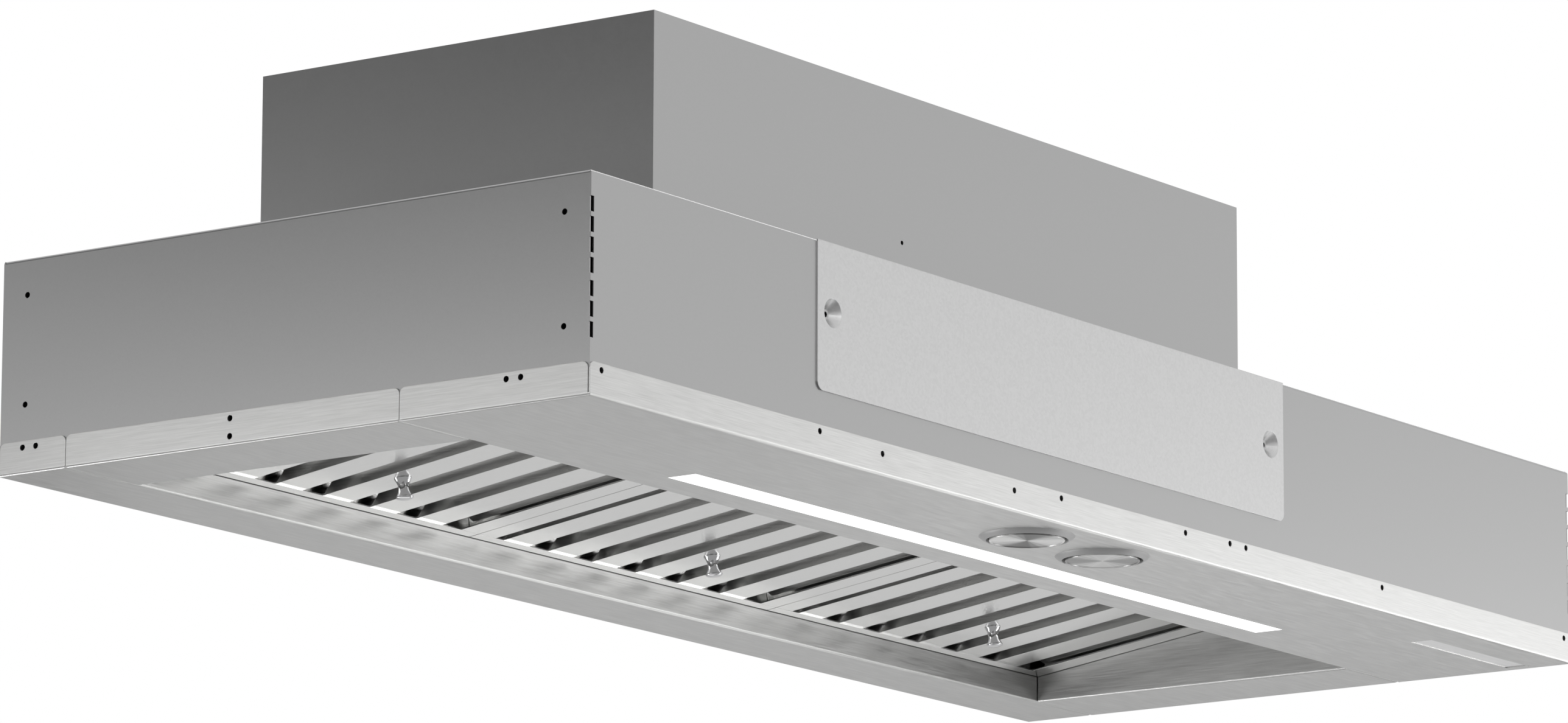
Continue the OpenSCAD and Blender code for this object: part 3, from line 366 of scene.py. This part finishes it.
# Stoved dark enamel on the motor's case, with a slight orange peel.
MOTOR_PAINT = SheetFinish("dark_motor_enamel", "#2b2d30", metallic=0.0, roughness=0.38,
                          grain=Grain.PLAIN, across_mm=0.9, tone=0.08, bump_mm=0.02)
# Ivory polypropylene: the capacitor's can.
CAN_PLASTIC = SheetFinish("ivory_polypropylene", "#dcdad2", metallic=0.0, roughness=0.45,
                          grain=Grain.PLAIN, across_mm=0.8, tone=0.03, bump_mm=0.01)
# Bright zinc plate on steel: screws, shaft, pins, catches and plungers.
ZINC_STEEL = SheetFinish("zinc_plated_steel", "#b9babb", roughness=0.3, grain=Grain.PLAIN,
                         across_mm=0.7, tone=0.05, bump_mm=0.004)
# Aluminium sheet as rolled, with faint level lines drawn wider than real ones: wheel and flaps.
MILL_SHEET = SheetFinish("mill_finish_sheet", "#bcbdbe", roughness=0.36, across_mm=0.9, along_mm=30,
                         tone=0.05, bump_mm=0.004)
# Aluminium faced on a lathe and lacquered: the knobs, with a painted reflection in fans round the middle.
SPUN_METAL = SpunFinish("spun_aluminium", "#efefee", painted_fan_depth=0.72)
# Frosted acrylic, lit from behind: the lens of the lamp strip.
LIT_ACRYLIC = LampFinish("lit_acrylic")


def mesh_from_grid(name: str, points: Points, uv: bool = False, smooth_angle: float = 30.0) -> Object:
    """Makes a piece from a grid of points: each grid cell is a quad, then doubles are merged.

    Args:
        name: the piece's name.
        points: places in metres, as rows by columns by three.
        uv: whether to keep the grid's own parameters as a UV map.
        smooth_angle: edges sharper than this, in degrees, stay sharp.

    Returns:
        The new object, at the origin.
    """
    rows, columns = points.shape[:2]
    index = np.arange(rows * columns).reshape(rows, columns)
    quads = np.stack([index[:-1, :-1], index[:-1, 1:], index[1:, 1:], index[1:, :-1]], -1)
    quads = quads.reshape(-1, 4)
    mesh = bpy.data.meshes.new(name)
    mesh.from_pydata(points.reshape(-1, 3).tolist(), [], quads.tolist())
    if uv:
        v, u = np.meshgrid(np.linspace(0, 1, rows), np.linspace(0, 1, columns), indexing="ij")
        flat = np.stack([u.ravel(), v.ravel()], -1)[quads.ravel()]
        mesh.uv_layers.new(name="UVMap").data.foreach_set("uv", flat.ravel())
    work = bmesh.new()
    work.from_mesh(mesh)
    bmesh.ops.remove_doubles(work, verts=work.verts, dist=MERGE_DISTANCE)
    bmesh.ops.dissolve_degenerate(work, edges=work.edges, dist=MERGE_DISTANCE)
    bmesh.ops.recalc_face_normals(work, faces=work.faces)
    work.to_mesh(mesh)
    work.free()
    mesh.shade_smooth()
    mesh.set_sharp_from_angle(angle=math.radians(smooth_angle))
    piece = bpy.data.objects.new(name, mesh)
    bpy.context.scene.collection.objects.link(piece)
    return piece


def revolve(profile: Points, segments: int = ROUND_SEGMENTS, start: float = 0.0) -> Points:
    """Turns a profile round +Z: the point at angle a is (r cos a, r sin a, z).

    Args:
        profile: radius and height pairs in metres.
        segments: steps round the full turn.
        start: the first angle, in radians.

    Returns:
        A grid of points, profile by angle, whose last column repeats the first.
    """
    angle = start + np.linspace(0, 2 * np.pi, segments + 1)
    radius, height = profile[:, :1], profile[:, 1:]
    return np.stack([radius * np.cos(angle), radius * np.sin(angle), height + 0 * angle], -1)


def arc(centre: tuple[float, float], radius: float, start: float, end: float, steps: int = 8) -> Points:
    """Gives points on a circle's arc, centre plus radius times (cos a, sin a).

    Args:
        centre: the middle of the circle.
        radius: its radius.
        start: first angle in degrees.
        end: last angle in degrees.
        steps: how many stretches the arc has.

    Returns:
        Pairs, one more than the steps.
    """
    angle = np.radians(np.linspace(start, end, steps + 1))
    return np.stack([centre[0] + radius * np.cos(angle), centre[1] + radius * np.sin(angle)], -1)


def placed(points: Points, origin: Vector, axis: Vector) -> Points:
    """Turns points so that their +Z lies along axis, and moves them to origin.

    Args:
        points: places round the origin, any grid of them.
        origin: where their own origin goes.
        axis: the way that their +Z points afterwards.

    Returns:
        The placed points, in the same grid.
    """
    turn = np.array(Vector((0, 0, 1)).rotation_difference(axis.normalized()).to_matrix())
    return points @ turn.T + np.array(origin)


def dress(piece: Object, material: Material) -> None:
    """Puts one material on every slot of a piece.

    Args:
        piece: the object to dress.
        material: its finish.
    """
    if not piece.material_slots:
        piece.data.materials.append(material)
    for place in piece.material_slots:
        place.material = material


def centre_of(node: str) -> Vector:
    """Gives the middle of a CAD node's box.

    Args:
        node: the node's name.

    Returns:
        The middle, in metres.
    """
    low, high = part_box(node)
    return (Vector(low) + Vector(high)) / 2


@dataclass
class PhotoCamera:
    """The photograph's viewpoint, worked out from the object's corners in it.

    The place is in metres. Heading, pitch and roll are in radians, the heading from +X to +Y.
    """

    place: Vector = field(default_factory=lambda: Vector((-4.4725, -3.1331, -0.9748)))
    heading: float = 0.6172
    pitch: float = 0.2034
    roll: float = 0.0035
    focal_px: float = 13503.0
    photo_width_px: float = 2576.0
    sensor_mm: float = 36.0
    clip_m: tuple[float, float] = (0.1, 200)

    def build(self) -> None:
        """Makes the camera, looking along the heading and pitch with a slight roll."""
        forward = Vector((math.cos(self.pitch) * math.cos(self.heading),
                          math.cos(self.pitch) * math.sin(self.heading), math.sin(self.pitch)))
        right = Vector((math.sin(self.heading), -math.cos(self.heading), 0))
        up = right.cross(forward)
        tilt, lean = math.cos(self.roll), math.sin(self.roll)
        across, above = right * tilt + up * lean, up * tilt - right * lean
        data = bpy.data.cameras.new("camera")
        data.sensor_width = self.sensor_mm
        data.lens = self.sensor_mm * self.focal_px / self.photo_width_px
        data.clip_start, data.clip_end = self.clip_m
        camera = bpy.data.objects.new("camera", data)
        turn = Matrix((across, above, -forward)).transposed()
        camera.matrix_world = Matrix.Translation(self.place) @ turn.to_4x4()
        bpy.context.scene.collection.objects.link(camera)
        bpy.context.scene.camera = camera


@dataclass
class Studio:
    """A white surround with a pale floor far below, soft lamps and four grey cards.

    The insert hangs as it does in a kitchen, so the floor is low enough for a look from below. Each
    card is given by its first corner, its lower edge, its side edge and its tone, and each lamp by
    its place, its aim, its width and height, and its power in watts.
    """

    floor_z: float = -14.0
    floor_half: float = 150.0
    floor_tone: str = "#bababa"
    floor_white_share: float = 0.55
    ambient: float = 0.75
    cards: dict[str, tuple[Place, Place, Place, str]] = field(default_factory=lambda: {
        "left_card": ((-1.7, -0.4, 0.42), (0, 1.5, 0), (0, 0, 0.13), "#141414"),
        "left_card_upper": ((-1.7, -0.4, 0.55), (0, 3.4, 0), (0, 0, 1.4), "#5e5e5e"),
        "filter_card": ((1.51, -0.16, -0.72), (-0.91, 1.3, 0), (0, 0, 0.6), "#cbcbcb"),
        "near_card": ((-4.2, -0.6, -1.5), (1.8, -2.6, 0), (0, 0, 2.0), "#808080"),
    })
    lamps: dict[str, tuple[Place, Place, tuple[float, float], float]] = field(default_factory=lambda: {
        "right_end": ((4.3, -2.3, 0.25), (0.5, -0.2, 0.1), (1.4, 1.0), 5.5),
        "front_low": ((2.3, -1.9, -1.0), (0.0, -0.23, 0.05), (2.5, 0.5), 5.0),
        "front_near": ((0.8, -0.7, -0.19), (0.0, 0.15, 0.01), (0.8, 0.12), 1.3),
        "left_flange": ((-1.3, 0.3, -0.06), (-0.59, 0.0, 0.015), (0.8, 0.1), 1.0),
        "bend": ((1.5, -0.6, -1.25), (0.0, -0.2, 0.0), (3.0, 0.4), 5.0),
        "left_bend": ((-0.75, 1.4, -1.0), (-0.59, 0.0, 0.0), (0.3, 0.8), 6.5),
        "under_back": ((0.0, 0.75, -0.95), (-0.1, 0.0, 0.0), (2.0, 0.3), 1.5),
        "behind": ((-2.6, -3.2, 1.0), (-0.5, -0.2, 0.1), (1.2, 1.2), 12.0),
        "edge": ((3.0, 0.8, 2.4), (0.2, 0.0, 0.2), (1.2, 1.2), 12.0),
    })

    def world(self) -> None:
        """Sets a world that shows white to the eye and in metal, and lights softly."""
        world = bpy.data.worlds.new("studio")
        world.use_nodes = True
        tree = world.node_tree
        tree.nodes.clear()
        rays = add_node(tree, "LightPath")
        seen = add_node(tree, "Math", {"operation": "MAXIMUM"}, _0=rays.outputs["Is Camera Ray"],
                        _1=rays.outputs["Is Glossy Ray"])
        shown = add_node(tree, "Math", {"operation": "MAXIMUM"}, _0=seen.outputs["Value"],
                         _1=rays.outputs["Is Transmission Ray"])
        strength = add_node(tree, "MapRange", None, Value=shown.outputs["Value"],
                            To_Min=self.ambient, To_Max=1.0)
        glow = add_node(tree, "Background", None, Color=linear("#ffffff"),
                        Strength=strength.outputs["Result"])
        output = add_node(tree, "OutputWorld")
        tree.links.new(glow.outputs["Background"], output.inputs["Surface"])
        bpy.context.scene.world = world

    def floor(self) -> None:
        """Makes the pale floor, part glow to the eye, which keeps the object's shadow."""
        half = self.floor_half
        corners = np.array([[[-half, -half, self.floor_z], [half, -half, self.floor_z]],
                            [[-half, half, self.floor_z], [half, half, self.floor_z]]])
        floor = mesh_from_grid("floor", corners)
        material, tree, output = new_material("studio_floor")
        rays = add_node(tree, "LightPath")
        shown = add_node(tree, "Math", {"operation": "MULTIPLY"}, _0=rays.outputs["Is Camera Ray"],
                         _1=self.floor_white_share)
        matt = add_node(tree, "BsdfDiffuse", None, Color=linear(self.floor_tone))
        white = add_node(tree, "Emission", None, Color=linear("#ffffff"), Strength=1.0)
        mixed = add_node(tree, "MixShader", None, _0=shown.outputs["Value"],
                         _1=matt.outputs["BSDF"], _2=white.outputs["Emission"])
        tree.links.new(mixed.outputs["Shader"], output.inputs["Surface"])
        dress(floor, material)

    def card(self, name: str, low: Place, along: Place, up: Place, tone: str) -> None:
        """Stands a grey card where the sheet on one side mirrors it, out of the camera's sight.

        Args:
            name: the card's name.
            low: its first corner.
            along: its lower edge as a vector.
            up: its side edge as a vector.
            tone: its grey.
        """
        corner, edge, rise = np.array(low), np.array(along), np.array(up)
        card = mesh_from_grid(name, np.array([[corner, corner + edge],
                                              [corner + rise, corner + edge + rise]]))
        material, tree, output = new_material(name + "_grey")
        glow = add_node(tree, "Emission", None, Color=linear(tone), Strength=1.0)
        tree.links.new(glow.outputs["Emission"], output.inputs["Surface"])
        dress(card, material)
        card.visible_camera = card.visible_diffuse = card.visible_shadow = False

    def lamp(self, name: str, place: Place, aim: Place, size: tuple[float, float],
             power: float) -> None:
        """Hangs one soft lamp.

        Args:
            name: the lamp's name.
            place: where it hangs.
            aim: the point it faces.
            size: its width and height.
            power: its power in watts.
        """
        data = bpy.data.lights.new(name, "AREA")
        data.shape = "RECTANGLE"
        data.size, data.size_y = size
        data.energy = power
        lamp = bpy.data.objects.new(name, data)
        way = Vector(aim) - Vector(place)
        turn = way.to_track_quat("-Z", "Y").to_matrix()
        lamp.matrix_world = Matrix.Translation(Vector(place)) @ turn.to_4x4()
        lamp.visible_camera = False
        bpy.context.scene.collection.objects.link(lamp)

    def build(self) -> None:
        """Sets up the world, the floor, the cards and the lamps."""
        self.world()
        self.floor()
        for name, (low, along, up, tone) in self.cards.items():
            self.card(name, low, along, up, tone)
        for name, (place, aim, size, power) in self.lamps.items():
            self.lamp(name, place, aim, size, power)
        bpy.context.scene.view_settings.view_transform = "Standard"


@dataclass
class Sheetwork:
    """The CAD nodes that stay as they are: each key lists nodes, and its value is their finish."""

    finishes: dict[str, SheetFinish | LampFinish] = field(default_factory=lambda: {
        "front_trim back_trim left_trim right_trim": TRIM_STEEL,
        "front_panel back_panel left_panel right_panel deck_front deck_back deck_left deck_right "
        "box_front box_back box_left box_right box_top plenum_wall filter_rail lamp_channel "
        "terminal_box terminal_cover scroll_wrap scroll_cheeks motor_bracket duct_collar": PANEL_ZINC,
        "access_cover": COVER_ZINC,
        "left_filter_frame middle_filter_frame right_filter_frame left_filter_baffles "
        "middle_filter_baffles right_filter_baffles": FILTER_STEEL,
        "badge_plate": BADGE_SATIN,
        "lamp_lens": LIT_ACRYLIC,
        "lamp_driver left_switch right_switch": BLACK_PLASTIC,
        "control_board": GREEN_BOARD,
        "lamp_board": WHITE_BOARD,
        "motor": MOTOR_PAINT,
        "capacitor": CAN_PLASTIC,
        "box_screws filter_catches motor_shaft damper_pin left_plunger right_plunger": ZINC_STEEL,
        "impeller damper_front damper_back": MILL_SHEET,
    })

    def build(self) -> None:
        """Gives every listed node its finish."""
        for names, finish in self.finishes.items():
            material = finish.build()
            for name in names.split():
                dress(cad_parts[name], material)
            LOG.info("%s: %s", finish.name, names)


@dataclass
class FilterHandles:
    """The three turned pulls under the filters: a spool with a domed free end, and its nut."""

    sides: tuple[str, ...] = ("left", "middle", "right")
    tilt: float = math.radians(8)
    length: float = 14.5 * MM
    end_r: float = 5.8 * MM
    root_r: float = 5.8 * MM
    waist_r: float = 3.6 * MM
    waist_share: float = 0.46
    lip: float = 0.5 * MM
    dome: float = 1.3 * MM
    curve: float = 1.9
    curve_steps: int = 15
    dome_steps: int = 9
    nut_r: float = 4.0 * MM
    nut_h: float = 3.0 * MM
    nut_chamfer: float = 0.36 * MM
    nut_crown_share: float = 1.04
    nut_segments: int = 48
    stud_r: float = 2.0 * MM
    stud_over: float = 0.2 * MM
    spool_segments: int = 64
    stud_segments: int = 24
    sheet: float = 1.0 * MM

    def profile(self) -> Points:
        """Gives the spool's outline: r = waist + (end - waist) * share ** curve each way from the waist.

        Returns:
            Radius and height pairs, from the sheet down to the middle of the domed end.
        """
        upper = np.linspace(0, 1, self.curve_steps + 1)
        waist_z = self.length * self.waist_share
        body_end = self.length - self.dome - self.lip
        top_z = self.lip + (waist_z - self.lip) * (1 - upper[::-1])
        top_r = self.waist_r + (self.root_r - self.waist_r) * upper[::-1] ** self.curve
        low_z = waist_z + (body_end - waist_z) * upper[1:]
        low_r = self.waist_r + (self.end_r - self.waist_r) * upper[1:] ** self.curve
        dome_a = np.linspace(0, np.pi / 2, self.dome_steps + 1)
        dome_z = body_end + self.lip + self.dome * np.sin(dome_a)
        dome_r = self.end_r * np.cos(dome_a)
        return np.concatenate([
            [[0, 0], [self.root_r - self.lip / 2, 0], [self.root_r, self.lip / 2]],
            np.stack([top_r, top_z], -1), np.stack([low_r, low_z], -1),
            [[self.end_r, body_end + self.lip / 2]], np.stack([dome_r, dome_z], -1)])

    def nut(self) -> Points:
        """Gives the hexagon nut: at angle a its flats lie at r = flat / cos(a within 30 degrees of a flat).

        Returns:
            A grid of points, ring by angle, with chamfered corners at both ends.
        """
        angle = np.linspace(0, 2 * np.pi, self.nut_segments + 1)
        inside = (angle + np.pi / 6) % (np.pi / 3) - np.pi / 6
        flat = self.nut_r * math.cos(math.pi / 6)
        hexagon = flat / np.cos(inside)
        chamfer = np.minimum(hexagon, flat * self.nut_crown_share)
        rings = [(0 * angle, 0), (chamfer, 0), (hexagon, self.nut_chamfer),
                 (hexagon, self.nut_h - self.nut_chamfer), (chamfer, self.nut_h),
                 (self.stud_r + 0 * angle, self.nut_h), (0 * angle, self.nut_h)]
        return np.stack([np.stack([r * np.cos(angle), r * np.sin(angle), z + 0 * angle], -1)
                         for r, z in rings])

    def stud(self) -> Points:
        """Gives the stud's outline, a plain pin through the sheet and the nut.

        Returns:
            Radius and height pairs.
        """
        end = self.sheet + self.nut_h + self.stud_over
        return np.array([[0, 0], [self.stud_r, 0], [self.stud_r, end], [0, end]])

    def build(self) -> None:
        """Turns each spool, nut and stud to the filter's tilt and hands them to the filter's body."""
        material = CHROME.build()
        zinc = bpy.data.materials[ZINC_STEEL.name]
        sine, cosine = math.sin(self.tilt), math.cos(self.tilt)
        down = Vector((0, -sine, -cosine))
        for side in self.sides:
            low, high = (Vector(v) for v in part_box(f"{side}_filter_handle"))
            base_z = low.z + self.end_r * sine + self.length * cosine
            base_y = low.y + self.end_r * cosine + self.length * sine
            base = Vector(((low.x + high.x) / 2, base_y, base_z))
            spool = mesh_from_grid(f"{side}_filter_pull",
                                   placed(revolve(self.profile(), self.spool_segments), base, down))
            nut = mesh_from_grid(f"{side}_filter_pull_nut",
                                 placed(self.nut(), base - down * self.sheet, -down), smooth_angle=25)
            stud = mesh_from_grid(f"{side}_filter_pull_stud",
                                  placed(revolve(self.stud(), self.stud_segments), base, -down))
            for piece, finish in ((spool, material), (nut, zinc), (stud, zinc)):
                dress(piece, finish)
                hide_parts(f"{side}_filter_handle")
                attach(piece, f"{side}_filter")
            LOG.info("%s pull at %s", side, tuple(round(v, 4) for v in base))


@dataclass
class Controls:
    """The two pop-out controls: a dished satin bezel and a spun, rimmed knob in each."""

    sides: tuple[str, ...] = ("left", "right")
    bore_r: float = 25.5 * MM
    tube_r: float = 27.5 * MM
    ring_r: float = 31.8 * MM
    lip_r: float = 27.4 * MM
    edge_r: float = 0.3 * MM
    groove: float = 5.0 * MM
    steep_share: float = 0.25
    steep_power: int = 4
    shoulder_steps: int = 11
    round_steps: int = 6
    lip_ends: tuple[float, float] = (180, 290)
    knob_r: float = 25.0 * MM
    rim_w: float = 1.1 * MM
    rim_slope: float = 0.3 * MM
    rim_round: float = 0.4 * MM
    rim_step: float = 0.35 * MM
    wall: float = 2.4 * MM
    face_t: float = 3.0 * MM
    boss_r: float = 6.0 * MM
    bore: float = 3.05 * MM
    floor: float = 1.2 * MM
    # Where each knob's painted reflection fans start round the turn.
    painted_fan_start: dict[str, float] = field(default_factory=lambda: {
        "left": math.radians(140), "right": math.radians(35)})

    def bezel_profile(self, low: float, seat: float, top: float) -> Points:
        """Gives the bezel's closed outline, from the bore's mouth round the ring and up the tube.

        The shoulder rises evenly at first and steeper at its outer end: height = (1 - steep) * share
        + steep * share ** power. The lip's arc runs between lip_ends, in degrees.

        Args:
            low: height of the ring's lowest circle.
            seat: height of the underside that the ring lies on.
            top: height of the tube's end.

        Returns:
            Radius and height pairs.
        """
        share = np.linspace(0, 1, self.shoulder_steps + 1)
        cone = [[self.bore_r, low + self.groove], [self.lip_r - self.edge_r, low + self.edge_r]]
        lip = arc((self.lip_r, low + self.edge_r), self.edge_r, *self.lip_ends, self.round_steps)
        start = lip[-1]
        rise = (1 - self.steep_share) * share + self.steep_share * share ** self.steep_power
        shoulder = np.stack([start[0] + (self.ring_r - start[0]) * share,
                             start[1] + (seat - start[1]) * rise], -1)
        tube = [[self.tube_r, seat], [self.tube_r, top], [self.bore_r, top],
                [self.bore_r, low + self.groove]]
        return np.concatenate([cone, lip, shoulder, tube])

    def knob_profile(self, low: float, top: float) -> Points:
        """Gives the knob's outline: a flat face, a raised rim, the skirt and the hollow with its boss.

        Args:
            low: height of the rim's lowest circle.
            top: height of the skirt's end.

        Returns:
            Radius and height pairs.
        """
        r, face = self.knob_r, low + self.rim_step
        inside = r - self.wall
        rim = np.concatenate([
            [[0, face], [r - self.rim_w - self.rim_slope, face], [r - self.rim_w, low]],
            arc((r - self.rim_round, low + self.rim_round), self.rim_round, -90, 0,
                self.round_steps)])
        return np.concatenate([rim, [[r, top], [inside, top], [inside, low + self.face_t],
                                     [self.boss_r, low + self.face_t], [self.boss_r, top], [self.bore, top],
                                     [self.bore, low + self.face_t + self.floor],
                                     [0, low + self.face_t + self.floor]]])

    def build(self) -> None:
        """Makes both bezels and knobs on their CAD nodes' axes."""
        satin, spun = BEZEL_SATIN.build(), SPUN_METAL.build()
        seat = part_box("front_trim")[0][2]
        up = Vector((0, 0, 1))
        for side in self.sides:
            low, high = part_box(f"{side}_bezel")
            middle = centre_of(f"{side}_bezel")
            axis_at = Vector((middle.x, middle.y, 0))
            outline = self.bezel_profile(low[2], seat, high[2])
            ring = mesh_from_grid(f"{side}_control_bezel", placed(revolve(outline), axis_at, up),
                                  smooth_angle=40)
            dress(ring, satin)
            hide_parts(f"{side}_bezel")
            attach(ring, "hood")
            low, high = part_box(f"{side}_knob")
            turned = revolve(self.knob_profile(low[2], high[2]), start=self.painted_fan_start[side])
            knob = mesh_from_grid(f"{side}_control_knob", placed(turned, axis_at, up), uv=True,
                                  smooth_angle=20)
            dress(knob, spun)
            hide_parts(f"{side}_knob")
            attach(knob, f"{side}_control")
            LOG.info("%s control at %s", side, tuple(round(v, 4) for v in axis_at))


def main() -> None:
    """Builds the camera, the studio and every dressed piece, logging the finishes and where the pulls and
    controls sit.
    """
    logging.basicConfig(level=logging.INFO)
    PhotoCamera().build()
    Studio().build()
    Sheetwork().build()
    FilterHandles().build()
    Controls().build()


if __name__ == "__main__":
    main()
